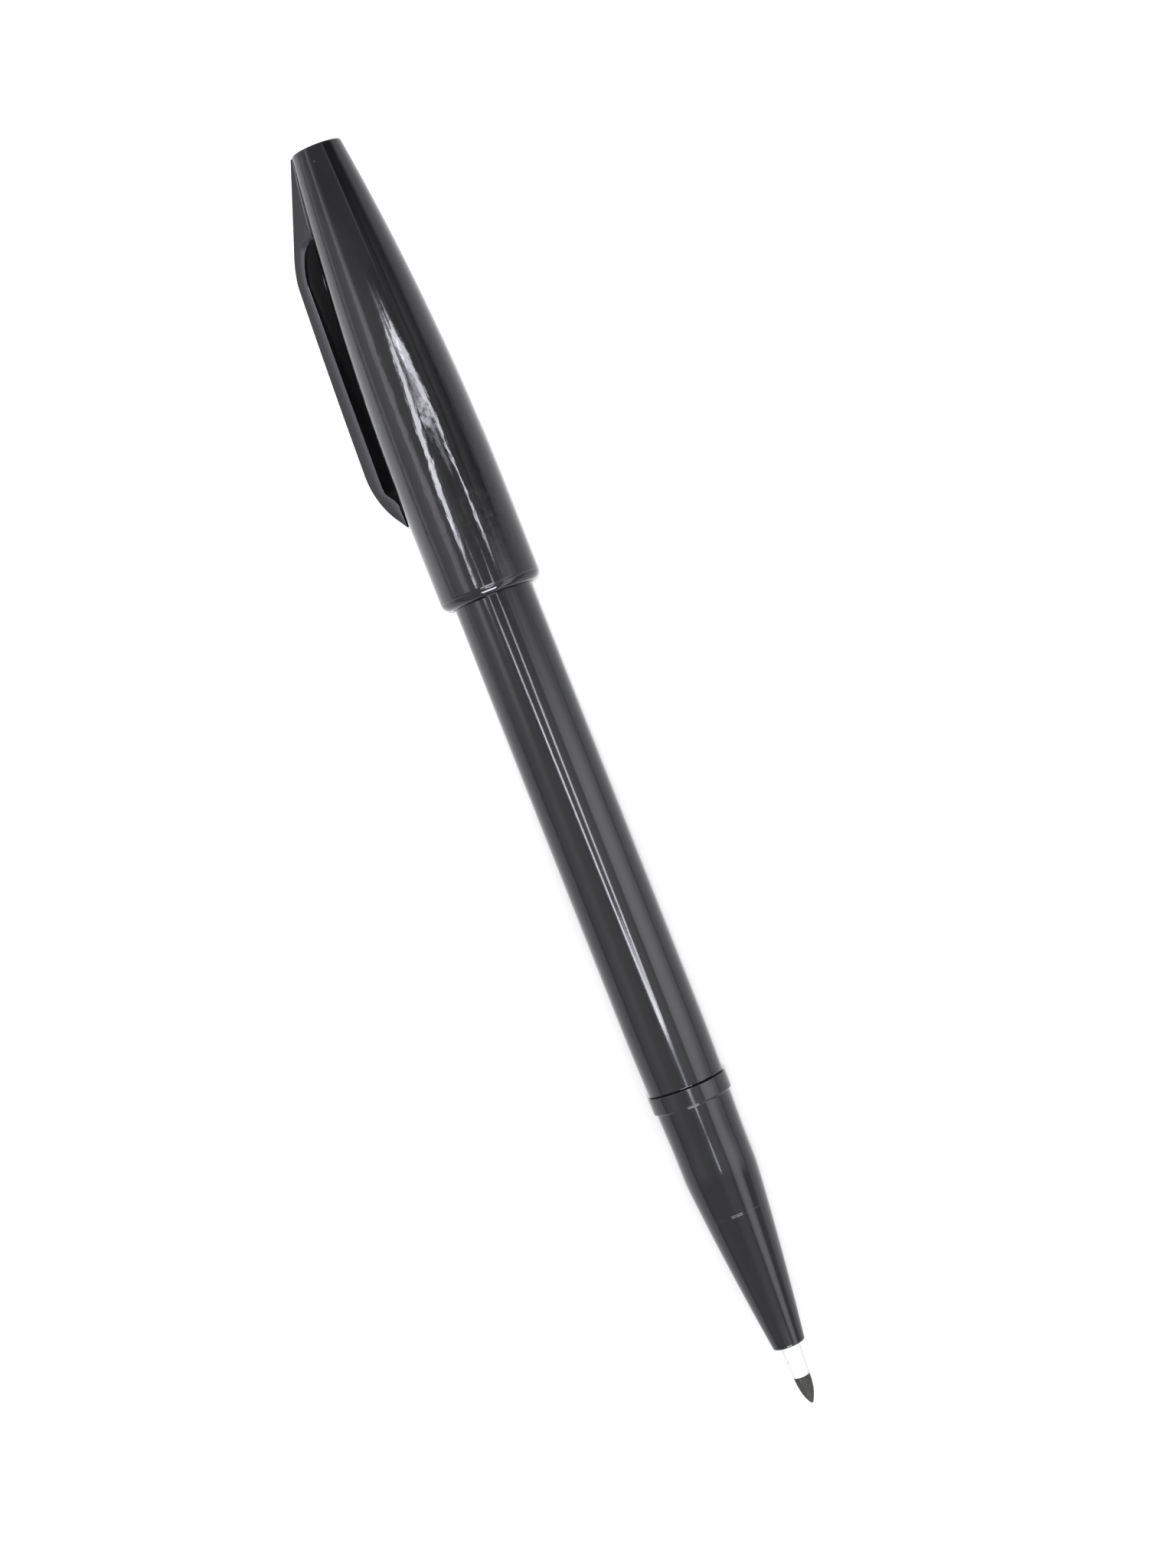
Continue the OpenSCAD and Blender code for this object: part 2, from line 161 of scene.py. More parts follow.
def run(*points, hold=0.03, steps=2):
    """Straight stretches through the points, each with a short hold at both ends so that the
    smooth shading of a long stretch isn't bent by the small faces beside it."""
    out = []
    for a, b in zip(points[:-1], points[1:]):
        a, b = np.array(a, float), np.array(b, float)
        h = min(hold / max(np.linalg.norm(b - a), 1e-9), 0.3)
        v = np.concatenate([[0, h], np.linspace(h, 1 - h, steps + 1)[1:-1], [1 - h, 1]])
        out.append(a + (b - a) * v[:, None])
    return np.vstack(out)


def joined(*stretches):
    """Stretches end to end as one line of points, without the doubled points."""
    line = np.vstack(stretches)
    keep = np.concatenate([[True], np.linalg.norm(np.diff(line, axis=0), axis=1) > 1e-5])
    return line[keep]


def spaced(line, count):
    """The same line as count points, evenly spaced along its length."""
    line = np.asarray(line, float)
    far = np.concatenate([[0], np.cumsum(np.linalg.norm(np.diff(line, axis=0), axis=1))])
    at = np.linspace(0, far[-1], count)
    return np.column_stack([np.interp(at, far, line[:, 0]), np.interp(at, far, line[:, 1])])


def smoothstep(v):
    """3 v^2 - 2 v^3, with v kept between 0 and 1."""
    v = np.clip(v, 0, 1)
    return v * v * (3 - 2 * v)


def waves(u, v, seed, count, low, high):
    """Soft unevenness between about -1 and 1: the mean of count sine waves over (u, v), with
    frequencies from low to high and directions and phases drawn from the seed."""
    draw = np.random.default_rng(seed)
    total = np.zeros(np.broadcast(u, v).shape)
    for _ in range(count):
        f, way, phase = draw.uniform(low, high), draw.uniform(0, math.tau), draw.uniform(0, math.tau)
        total += np.sin(f * (np.cos(way) * u + np.sin(way) * v) + phase)
    return total * 1.4 / math.sqrt(count) / 2


def grid_faces(rows, columns, closed_rows):
    """Quads between neighbouring rows of a grid whose columns run round a closed ring."""
    r = np.arange(rows if closed_rows else rows - 1)[:, None]
    c = np.arange(columns)[None, :]
    r1, c1 = (r + 1) % rows, (c + 1) % columns
    return np.stack([r * columns + c, r * columns + c1, r1 * columns + c1, r1 * columns + c],
                    axis=-1).reshape(-1, 4)


def fan(tip, ring, following):
    """Triangles from one tip to each point of a ring and the point that follows it."""
    return np.column_stack([np.full(len(ring), tip), following, ring, np.full(len(ring), -1)])


def closed_tube(name, points, materials):
    """A tube whose rows are closed rings, shut at both ends by a fan to the middle of the ring."""
    rows, columns = points.shape[:2]
    flat = points.reshape(-1, 3)
    ends = np.vstack([points[0].mean(0), points[-1].mean(0)])
    first = np.arange(columns)
    following, last = (first + 1) % columns, (rows - 1) * columns
    faces = np.vstack([grid_faces(rows, columns, closed_rows=False), fan(len(flat), first, following),
                       fan(len(flat) + 1, last + following, last + first)])
    return mesh_object(name, np.vstack([flat, ends]), faces, materials)


def mesh_object(name, points, faces, materials):
    """A smooth-shaded mesh in the frame, from standing-pen points and faces of three or four of
    them, a triangle's fourth being -1; its faces are turned to point outwards."""
    mesh = bpy.data.meshes.new(name)
    mesh.from_pydata(to_frame(points).tolist(), [], [tuple(int(i) for i in f if i >= 0) for f in faces])
    mesh.validate()
    obj = bpy.data.objects.new(name, mesh)
    bpy.context.scene.collection.objects.link(obj)
    for material in materials:
        mesh.materials.append(material)
    mesh.polygons.foreach_set("use_smooth", np.ones(len(mesh.polygons), bool))
    if signed_volume(mesh) < 0:
        mesh.flip_normals()
    mesh.update()
    return obj


def signed_volume(mesh):
    """Sum of the signed volumes of the tetrahedra from the mesh's middle to each triangle."""
    mesh.calc_loop_triangles()
    tri = np.zeros(len(mesh.loop_triangles) * 3, int)
    mesh.loop_triangles.foreach_get("vertices", tri)
    co = np.zeros(len(mesh.vertices) * 3)
    mesh.vertices.foreach_get("co", co)
    co = co.reshape(-1, 3) - co.reshape(-1, 3).mean(0)
    a, b, c = (co[tri.reshape(-1, 3)[:, k]] for k in range(3))
    return float(np.einsum("ij,ij->i", a, np.cross(b, c)).sum()) / 6


def turned(name, profile, materials, shape=None, turns=TURNS):
    """A solid of revolution: (r cos t, r sin t, z) for each (r, z) of the profile, where shape(r, z, t)
    may change the radius. The profile starts and ends on the axis, which closes the poles, or it
    is a closed ring of points, which closes a tube."""
    profile = np.asarray(profile, float)
    poles = profile[0][0] < 1e-6
    rings = profile[1:-1] if poles else profile
    t = np.linspace(0, math.tau, turns, endpoint=False)[None, :]
    r, z = rings[:, :1] + 0 * t, rings[:, 1:] + 0 * t
    if shape:
        r = shape(r, z, t + 0 * r)
    points = np.stack([r * np.cos(t), r * np.sin(t), z], axis=-1).reshape(-1, 3)
    faces = grid_faces(len(rings), turns, closed_rows=not poles)
    if poles:
        first, pole = np.arange(turns), len(points)
        following, last = (first + 1) % turns, (len(rings) - 1) * turns
        faces = np.vstack([faces, fan(pole, first, following),
                           fan(pole + 1, last + following, last + first)])
        points = np.vstack([points, [0, 0, profile[0][1]], [0, 0, profile[-1][1]]])
    return mesh_object(name, points, faces, materials)


def banded(name, inner, outer, width, edge, inner_edge, materials):
    """A rounded rectangle carried along two matching outlines in the XZ plane. At each pair of
    points the section spans from the inner one to the outer one and half the width to each side,
    with its corners rounded by edge outside and inner_edge inside."""
    span = outer - inner
    thick = np.linalg.norm(span, axis=1, keepdims=True)
    out = span / np.maximum(thick, 1e-6)
    corner = np.radians(np.linspace(0, 90, 9))
    ring = []
    for quarter, (side, outside) in enumerate([(1, True), (-1, True), (-1, False), (1, False)]):
        rho = np.minimum(edge if outside else inner_edge, thick[:, 0] * 0.45)[:, None]
        a = corner if quarter % 2 else corner[::-1]
        along = np.sin(a)[None, :] if outside else -np.sin(a)[None, :]
        across = np.cos(a)[None, :]
        base = thick - rho if outside else rho
        ring.append(np.stack([base + rho * along, side * (width / 2 - rho + rho * across)], axis=-1))
    ring = np.concatenate([points[:, ::-1] for points in ring], axis=1)
    up, across = ring[..., 0], ring[..., 1]
    x = inner[:, :1] + out[:, :1] * up
    z = inner[:, 1:] + out[:, 1:] * up
    return closed_tube(name, np.stack([x, across, z], axis=-1), materials)


# ---------------------------------------------------------------- outlines of the pen

CAP_TOP_R = 3.13
CAP_WIDEST = CAP_MOUTH + 12.0
SKIRT_DRAFT = 0.05
MOUTH_ROUND = 1.1
TOP_ROUND = 0.3


def cap_radius(z):
    """Outer radius of the cap: nearly straight at the skirt, then a long arc up to the flat top."""
    z = np.asarray(z, float)
    skirt = CAP_R - SKIRT_DRAFT * (CAP_WIDEST - z) / (CAP_WIDEST - CAP_MOUTH)
    crown = CAP_R - (CAP_R - CAP_TOP_R) * ((z - CAP_WIDEST) / (CAP_TOP - CAP_WIDEST)) ** 2
    return np.where(z < CAP_WIDEST, skirt, crown)


def cap_profile():
    """The cap's outline from the middle of its top, down the outside, round the mouth, up the
    bore with its grip ring, and in to the axis above the inner cap."""
    mouth_r = CAP_R - SKIRT_DRAFT
    bore_r, ring_r, relief_r = BARREL_R + 0.08, SEAT_R + 0.02, SEAT_R + 0.25
    ring, ring_w, ramp, lead = CAP_MOUTH + 6.0, 3.0, 0.4, 0.3
    wall, shelf, crown_r, crown = 1.25, 0.6, 2.0, CAP_TOP - 2.3
    side_r = float(cap_radius(INNER_BACK)) - wall
    edge_r = float(cap_radius(CAP_TOP - TOP_ROUND)) - TOP_ROUND
    z = np.linspace(CAP_TOP - TOP_ROUND, CAP_MOUTH + MOUTH_ROUND, 240)
    return joined(
        run((0, CAP_TOP), (edge_r, CAP_TOP)),
        arc((edge_r, CAP_TOP - TOP_ROUND), TOP_ROUND, 90, 0),
        np.column_stack([cap_radius(z), z]),
        arc((mouth_r - MOUTH_ROUND, CAP_MOUTH + MOUTH_ROUND), MOUTH_ROUND, 0, -90, 24),
        run((mouth_r - MOUTH_ROUND, CAP_MOUTH), (bore_r + lead, CAP_MOUTH),
            (bore_r, CAP_MOUTH + lead), (bore_r, ring), (ring_r, ring + ramp),
            (ring_r, ring + ring_w - ramp), (relief_r, ring + ring_w), (relief_r, INNER_FRONT),
            (side_r, INNER_BACK), (side_r - shelf, INNER_BACK + 0.05), (crown_r, crown), (0, crown)),
    )


def cap_ripple(r, z, t):
    """Sink ripples of the moulding: soft waves about a hundredth of a millimetre high, on the
    outside of the cap only, fading out towards the crown and at the mouth."""
    height, crown, crown_fade, mouth_fade, facing = 0.010, 12, 14, 3, math.pi * 0.66
    across = r * np.sin(t - facing)
    fade = smoothstep((CAP_TOP - crown - z) / crown_fade) * smoothstep((z - CAP_MOUTH) / mouth_fade)
    soft = waves(across * 0.9, z * 0.35, 11, 10, 0.8, 2.4)
    outside = r > cap_radius(z) - 0.02
    return r + np.where(outside, height * fade * soft, 0)


def clip_outlines():
    """The clip's inner and outer outlines from its wedge in the cap's top to its foot, as
    matching points: four stretches, each with the same count of points on both sides."""
    gap_root, gap_foot, root_t, belly_t, foot_t, bow = 2.0, 1.35, 1.5, 1.8, 0.05, 0.08
    bend_run, corner, pad_run, buried = 2.4, 0.5, 0.6, 1.2
    foot_x = CAP_R + 0.02
    pad, hook, belly = CLIP_FOOT + 3.2, CLIP_FOOT + 4.9, CLIP_FOOT + 7.3
    hook_x = float(cap_radius(hook)) + gap_foot
    belly_x = hook_x + belly_t
    in_x = float(cap_radius(CLIP_ROOT)) + gap_root
    out_x = in_x + root_t
    window, bend, wedge = CAP_TOP - 9.7, CAP_TOP - 12.9, CAP_TOP - 0.3
    bend_x, wedge_x = out_x - 0.16, CAP_TOP_R - 0.26
    slope = (bend_x - wedge_x) / (wedge - bend)
    curve_start = (bend_x - slope * bend_run, bend + bend_run)
    drop, length = belly_x - foot_x - foot_t, belly - CLIP_FOOT
    end_r = (length**2 + drop**2) / (2 * drop)
    end_a = math.degrees(math.asin(length / end_r))
    arch_x = float(cap_radius(window)) - 0.5
    outer = [
        spaced(run((wedge_x, wedge), curve_start), 50),
        spaced(pulled(curve_start, (bend_x, bend), (out_x, CLIP_ROOT)), 50),
        spaced(bowed((out_x, CLIP_ROOT), (belly_x, belly), bow), 90),
        spaced(arc((belly_x - end_r, belly), end_r, 0, -end_a, 60), 70),
    ]
    root_at, hook_at, pad_at = (np.array(at) for at in ((in_x, CLIP_ROOT), (hook_x, hook), (foot_x, pad)))
    hook_way, arm_way = pad_at - hook_at, root_at - hook_at
    hook_way, arm_way = hook_way / np.linalg.norm(hook_way), arm_way / np.linalg.norm(arm_way)
    turn_a, turn_b = hook_at + corner * arm_way, hook_at + corner * hook_way
    pad_a, pad_b = pad_at - pad_run * hook_way, (foot_x, pad - pad_run)
    part = hook_at + (root_at - hook_at) * (belly - hook) / (CLIP_ROOT - hook)
    inner = [
        spaced([(buried, wedge), (buried, window + 1), (arch_x, window)], 50),
        spaced(pulled((arch_x, window), (in_x - 0.7, window - 0.9), root_at), 50),
        spaced([root_at, part], 90),
        spaced(joined([part, turn_a], pulled(turn_a, hook_at, turn_b, 12), pulled(pad_a, pad_at, pad_b, 12),
                      [pad_b, (foot_x, CLIP_FOOT)]), 70),
    ]
    return joined_pair(inner, outer)


def joined_pair(inner, outer):
    """Two lists of stretches as two lines, dropping the point that neighbouring stretches share."""
    cut = [slice(None)] + [slice(1, None)] * (len(inner) - 1)
    return (np.vstack([s[c] for s, c in zip(inner, cut)]), np.vstack([s[c] for s, c in zip(outer, cut)]))


def fillet_tube(outer_x, start, end, side):
    """The soft corner between the clip's wedge and the cap, on one side. At each station a
    hollow arc touches the wedge's flat side and the cap's circle; beyond both touching points the
    line runs on just under the two surfaces, and a point deep inside closes it into a tube. The
    radius follows the wedge's height and fades out at the window."""
    sink, skirt, smallest, largest, fade, left, buried = 0.0012, 0.35, 0.02, 0.9, 2.2, 0.06, 0.6
    z = np.linspace(start, end, 90)[:, None]
    r, half = cap_radius(z), CLIP_W / 2
    proud = outer_x(z) - np.sqrt(r**2 - half**2)
    rho = np.clip(0.75 * proud, smallest, largest) * (left + (1 - left) * smoothstep((z - end) / fade))
    cy = half + rho
    cx = np.sqrt((r + rho) ** 2 - cy**2)
    last = np.arctan2(-cy, -cx)
    a = -math.pi / 2 + (last + math.pi / 2) * np.linspace(0, 1, 19)[None, :]
    arc_x, arc_y = cx + (rho + sink) * np.cos(a), cy + (rho + sink) * np.sin(a)
    room = np.clip(outer_x(z) - cx - skirt, 0.01, skirt)
    out = room * np.linspace(1, 0.06, 8)[None, :]
    side_x, side_y = cx + out, half - sink + 0 * (cx + out)
    on = np.arctan2(cy, cx) + np.linspace(0.004, 0.09, 8)[None, :]
    cap_x, cap_y = (r - sink) * np.cos(on), (r - sink) * np.sin(on)
    deep_x, deep_y = r * 0.8, half - buried + 0 * r
    x = np.hstack([side_x, arc_x, cap_x, deep_x])
    y = np.hstack([side_y, arc_y, cap_y, deep_y])
    return np.stack([x, side * y, np.broadcast_to(z, x.shape)], axis=-1)


def section_radius(z):
    """Outer radius of the grip section between its nose and its collar: a bowed taper and the
    nearly straight cap seat, averaged over a reach to each side, which eases one into the other."""
    taper_end, taper_r, bow, longest_reach = SEAT - SEAT_LEN / 2 - 1.3, 4.40, 0.12, 1.6
    start = NOSE + NOSE_ROUND

    def plain(s):
        v = (s - start) / (taper_end - start)
        taper = NOSE_R + (taper_r - NOSE_R) * v + 4 * bow * v * (1 - v)
        knots = [taper_end, SEAT - SEAT_LEN / 2, SEAT + SEAT_LEN / 2, COLLAR_FRONT]
        straight = np.interp(s, knots, [taper_r, SEAT_R, SEAT_R, SEAT_R + 0.15])
        return np.where(s < taper_end, taper, straight)

    spread = np.linspace(-1, 1, 21)
    weight = 1 - spread**2
    reach = longest_reach * smoothstep((z - start) / 3)
    return sum(w * plain(z + reach * s) for s, w in zip(spread, weight)) / weight.sum()


def section_profile():
    """The section's outline: front face with its hole, rounded nose, bowed taper with the
    hairline groove, cap seat, hollow corner, collar with eased edges, spigot, and the bore."""
    hair, hair_w, hair_deep, clear = NOSE + 17.5, 0.14, 0.0015, 0.03
    hole_r, ease, hollow = 1.20, 0.07, 0.14
    room_r, room_front, vent_r, spigot_end = 3.43, 36.0, 2.7, COLLAR_BACK + SPIGOT_LEN
    z1 = np.linspace(NOSE + NOSE_ROUND, hair - hair_w / 2 - clear, 110)
    z2 = np.linspace(hair + hair_w / 2 + clear, COLLAR_FRONT - hollow, 110)
    hair_r, foot_r = (float(section_radius(np.array([z]))[0]) for z in (hair, COLLAR_FRONT))
    return joined(
        run((hole_r, NOSE), (NOSE_R - NOSE_ROUND, NOSE)),
        arc((NOSE_R - NOSE_ROUND, NOSE + NOSE_ROUND), NOSE_ROUND, -90, 0),
        np.column_stack([section_radius(z1), z1]),
        run((hair_r, hair - hair_w / 2), (hair_r - hair_deep, hair - hair_w / 4),
            (hair_r - hair_deep, hair + hair_w / 4), (hair_r, hair + hair_w / 2), hold=0.01),
        np.column_stack([section_radius(z2), z2]),
        arc((foot_r + hollow, COLLAR_FRONT - hollow), hollow, 180, 90),
        run((foot_r + hollow, COLLAR_FRONT), (COLLAR_R - ease, COLLAR_FRONT), hold=0.01),
        arc((COLLAR_R - ease, COLLAR_FRONT + ease), ease, -90, 0),
        run((COLLAR_R, COLLAR_FRONT + ease), (COLLAR_R, COLLAR_BACK - ease)),
        arc((COLLAR_R - ease, COLLAR_BACK - ease), ease, 0, 90),
        run((COLLAR_R - ease, COLLAR_BACK), (SPIGOT_R, COLLAR_BACK), (SPIGOT_R, spigot_end),
            (room_r, spigot_end), (room_r, room_front), (vent_r, HOLDER_FLANGE),
            (HOLDER_R, HOLDER_FLANGE), (HOLDER_R, HOLDER_BODY), (hole_r, HOLDER_BODY), (hole_r, NOSE)),
    )[:-1]


def barrel_profile():
    """The barrel's outline as a closed ring: eased front edge, a slight swelling up to the full
    diameter, the plain length, the step down to the tail, and the bore."""
    narrow, grow, ease, front_ease, tail_ease = 0.14, 9.0, 1.0, 0.05, 0.1
    shoulder, bore_r, step = BARREL_END - TAIL_LEN, 3.90, 1
    bore_front = COLLAR_BACK + SPIGOT_LEN + 0.5
    front_r = BARREL_R - narrow
    z = np.linspace(COLLAR_BACK + front_ease, COLLAR_BACK + grow, 40)
    swell = front_r + narrow * np.sin((z - COLLAR_BACK) / grow * math.pi / 2)
    body = np.linspace(COLLAR_BACK + grow, shoulder - ease, 120)
    return joined(
        run((SPIGOT_R, COLLAR_BACK), (front_r - front_ease, COLLAR_BACK), hold=0.01),
        arc((front_r - front_ease, COLLAR_BACK + front_ease), front_ease, -90, 0, 6),
        np.column_stack([swell, z]),
        np.column_stack([np.full_like(body, BARREL_R), body]),
        run((BARREL_R, shoulder - ease), (SEAT_R, shoulder), (SEAT_R, TUBE_END - tail_ease),
            (SEAT_R - tail_ease, TUBE_END), (PLUG_R, TUBE_END), (PLUG_R, shoulder),
            (bore_r, shoulder - step), (bore_r, bore_front), (SPIGOT_R, bore_front - 0.1),
            (SPIGOT_R, COLLAR_BACK)),
    )[:-1]


def plug_profile():
    """The rear plug: a slightly domed head with a rounded edge and the hollow cup behind it."""
    head_r, edge, wall, floor, front = SEAT_R - 0.05, 0.5, 0.8, 0.3, TUBE_END - 6.0
    return joined(
        run((0, BARREL_END), (head_r - edge, BARREL_END)),
        arc((head_r - edge, BARREL_END - edge), edge, 90, 0),
        run((head_r, BARREL_END - edge), (head_r, TUBE_END), (PLUG_R, TUBE_END), (PLUG_R, front),
            (PLUG_R - wall, front), (PLUG_R - wall, TUBE_END - floor), (0, TUBE_END - floor)),
    )


def holder_profile():
    """The tip holder: a slim cone out of the section with a fine eased mouth, then its stepped
    body, flange and rear tube round the felt rod."""
    front_r, root_r, mouth = 0.95, 1.15, 0.08
    flange_r, flange_back, tube_end = 2.5, HOLDER_FLANGE + 1.2, HOLDER_FLANGE + 9.2
    return joined(
        run((ROD_R, HOLDER_END), (front_r - mouth, HOLDER_END), hold=0.01),
        arc((front_r - mouth, HOLDER_END + mouth), mouth, -90, 0, 6),
        run((front_r, HOLDER_END + mouth), (root_r - 0.03, NOSE - 0.55), (root_r, NOSE - 0.4),
            (root_r, HOLDER_BODY), (HOLDER_R, HOLDER_BODY), (HOLDER_R, HOLDER_FLANGE),
            (flange_r, HOLDER_FLANGE), (flange_r, flange_back), (HOLDER_R, flange_back),
            (HOLDER_R, tube_end), (ROD_R, tube_end), (ROD_R, HOLDER_END)),
    )[:-1]


def nib_profile():
    """The felt tip: a small round point, full flanks up to its shoulder, then the thin rod that
    runs back through the holder into the ink."""
    point_r, ease, rod_end = 0.18, 0.06, 43.0
    return joined(
        [(0, 0)],
        arc((0, point_r), point_r, -80, -30, 8),
        pulled((point_r * 0.88, point_r * 0.5), (NIB_R, HOLDER_END * 0.42), (NIB_R, HOLDER_END - ease), 70),
        arc((NIB_R - ease, HOLDER_END - ease), ease, 0, 90, 6),
        run((NIB_R - ease, HOLDER_END), (ROD_R, HOLDER_END), (ROD_R, rod_end), (0, rod_end)),
    )


def nib_fibres(r, z, t):
    """Fibre ends standing a little in and out of the felt: fine waves, drawn out along the tip."""
    strand_height, speck_height, point = 0.016, 0.012, 0.35
    strand = waves(t * 9.0, z * 2.2, 5, 14, 0.7, 2.6)
    speck = waves(t * 22.0, z * 16.0, 8, 16, 0.6, 1.6)
    fade = smoothstep(r / point) * (z < HOLDER_END - 0.08)
    return r + fade * (strand_height * strand + speck_height * speck)


# ---------------------------------------------------------------- materials


class NodeTree:
    """A short-hand for building the nodes of a material or of the surround."""

    def __init__(self, owner):
        owner.use_nodes = True
        self.nodes, self.links = owner.node_tree.nodes, owner.node_tree.links

    def between(self, fac, low, high, first, second):
        """A value that goes from first to second while fac goes from low to high."""
        node = self.nodes.new("ShaderNodeMapRange")
        for key, value in (("From Min", low), ("From Max", high), ("To Min", first), ("To Max", second)):
            node.inputs[key].default_value = value
        self.links.new(fac, node.inputs["Value"])
        return node.outputs["Result"]

    def ramp(self, fac, stops):
        """A colour ramp with (position, colour) stops."""
        node = self.nodes.new("ShaderNodeValToRGB")
        ramp = node.color_ramp
        ramp.elements[0].position, ramp.elements[0].color = stops[0]
        ramp.elements[1].position, ramp.elements[1].color = stops[-1]
        for position, colour in stops[1:-1]:
            ramp.elements.new(position).color = colour
        self.links.new(fac, node.inputs["Fac"])
        return node.outputs["Color"]

    def maths(self, operation, first, second):
        """The result of one operation on two values."""
        node = self.nodes.new("ShaderNodeMath")
        node.operation = operation
        self.links.new(first, node.inputs[0])
        self.links.new(second, node.inputs[1])
        return node.outputs[0]

    def parts(self, vector):
        """The X, Y and Z of a vector, by name."""
        node = self.nodes.new("ShaderNodeSeparateXYZ")
        self.links.new(vector, node.inputs[0])
        return node.outputs


class Shader(NodeTree):
    """A short-hand for building one node material."""

    def __init__(self, name, **sockets):
        self.material = bpy.data.materials.new(name)
        super().__init__(self.material)
        self.surface = self.nodes["Principled BSDF"]
        for key, value in sockets.items():
            self.surface.inputs[key.replace("_", " ")].default_value = value
        self.place = self.nodes.new("ShaderNodeTexCoord").outputs["Object"]

    def mapped(self, scale):
        """Object coordinates, stretched by scale along X, Y and Z."""
        node = self.nodes.new("ShaderNodeMapping")
        node.inputs["Scale"].default_value = scale
        self.links.new(self.place, node.inputs["Vector"])
        return node.outputs["Vector"]

    def noise(self, scale, detail=3.0, rough=0.5, stretch=(1, 1, 1)):
        """Noise of the given scale per metre."""
        node = self.nodes.new("ShaderNodeTexNoise")
        node.inputs["Scale"].default_value = scale
        node.inputs["Detail"].default_value = detail
        node.inputs["Roughness"].default_value = rough
        self.links.new(self.mapped(stretch), node.inputs["Vector"])
        return node.outputs["Fac"]

    def bump(self, height, distance, under=None):
        """Bump from a height, laid over an earlier bump if one is given."""
        node = self.nodes.new("ShaderNodeBump")
        node.inputs["Distance"].default_value = distance
        self.links.new(height, node.inputs["Height"])
        if under is not None:
            self.links.new(under, node.inputs["Normal"])
        return node.outputs["Normal"]

    def set(self, socket, output):
        """Feeds an output into one of the surface's sockets."""
        self.links.new(output, self.surface.inputs[socket])


# The black moulding's reflections are a touch cool; its finest marks are this high, in metres
COOL_GLOSS = (0.92, 0.92, 1.0, 1)
FINE_MARK = 0.0000012


def black_plastic(name, colour, roughness, wave, peel=0.0):
    """Polished black moulding: deep even colour, faint cloudy gloss from handling, fine hairline
    scuffs along the pen, and the soft waviness of a moulded wall. Peel is the height of the
    orange peel that ripples the lower part of the cap, from below its crown to the mouth."""
    s = Shader(name, Roughness=roughness, IOR=1.5, Specular_Tint=COOL_GLOSS)
    cloud = s.noise(260.0, 4.0, 0.6, (0.4, 1, 1))
    tint = tuple(c * 1.8 for c in colour[:3]) + (1.0,)
    s.set("Base Color", s.ramp(cloud, [(0.35, colour), (0.75, tint)]))
    s.set("Roughness", s.between(cloud, 0.3, 0.75, roughness * 0.75, roughness * 1.6))
    flow = s.noise(150.0, 2.0, 0.45, (0.35, 1, 1))
    scuff = s.noise(5200.0, 3.0, 0.7, (0.06, 1, 1))
    grain = s.noise(3800.0, 2.0, 0.5)
    soft = s.bump(flow, wave)
    if peel:
        crown, rim, fade_in, fade_out, left = 21, 9, 0.004, 0.005, 0.2
        coarse, fine = (1200.0, 0.45, peel), (3200.0, 0.22, peel * 0.5)
        x = s.parts(s.place)["X"]
        crown_end, rim_start = TIP_X - (CAP_TOP - crown) * MM, TIP_X - (CAP_MOUTH + rim) * MM
        begins = s.between(x, crown_end, crown_end + fade_in, 0, 1)
        ends = s.between(x, rim_start, rim_start + fade_out, 1, left)
        mask = s.maths("MULTIPLY", begins, ends)
        for scale, stretch, height in (coarse, fine):
            ripple = s.maths("MULTIPLY", mask, s.noise(scale, 1.0, 0.5, (stretch, 1, 1)))
            soft = s.bump(ripple, height, under=soft)
    s.set("Normal", s.bump(scuff, FINE_MARK, under=s.bump(grain, FINE_MARK, under=soft)))
    return s.material


def white_plastic():
    """Translucent white moulding of the tip holder, faintly cloudy in colour and gloss."""
    s = Shader("tip_holder_white", Roughness=0.3, IOR=1.5, Subsurface_Weight=0.35, Subsurface_Scale=0.0012)
    cloud = s.noise(900.0, 3.0, 0.5)
    s.set("Base Color", s.ramp(cloud, [(0.3, (0.46, 0.46, 0.455, 1)), (0.7, (0.52, 0.52, 0.51, 1))]))
    s.set("Roughness", s.between(cloud, 0.3, 0.7, 0.24, 0.4))
    s.set("Normal", s.bump(s.noise(2500.0), 0.000004))
    return s.material


def felt():
    """Ink-soaked acrylic felt: near-black with grey fibre flecks drawn out along the tip, matt
    with a slight sheen where the fibres lie flat."""
    s = Shader("felt_tip_fibre", Roughness=0.85, IOR=1.4, Sheen_Weight=0.05, Sheen_Roughness=0.5)
    fleck = s.noise(5200.0, 5.0, 0.7, (0.45, 1, 1))
    s.set("Base Color", s.ramp(fleck, [(0.38, (0.005, 0.005, 0.005, 1)), (0.55, (0.015, 0.015, 0.014, 1)),
                                       (0.72, (0.075, 0.075, 0.065, 1))]))
    s.set("Roughness", s.between(fleck, 0.4, 0.7, 0.65, 0.95))
    strands = s.noise(6500.0, 4.0, 0.65, (0.3, 1, 1))
    s.set("Normal", s.bump(strands, 0.00003))
    return s.material


def seal_plastic():
    """Soft milky plastic of the inner cap with a waxy, slightly uneven gloss."""
    s = Shader("inner_cap_milky", Roughness=0.45, IOR=1.5, Subsurface_Weight=0.3, Subsurface_Scale=0.001)
    cloud = s.noise(700.0, 3.0, 0.5)
    s.set("Base Color", s.ramp(cloud, [(0.3, (0.66, 0.67, 0.65, 1)), (0.7, (0.78, 0.79, 0.77, 1))]))
    s.set("Normal", s.bump(s.noise(1800.0), 0.000006))
    return s.material


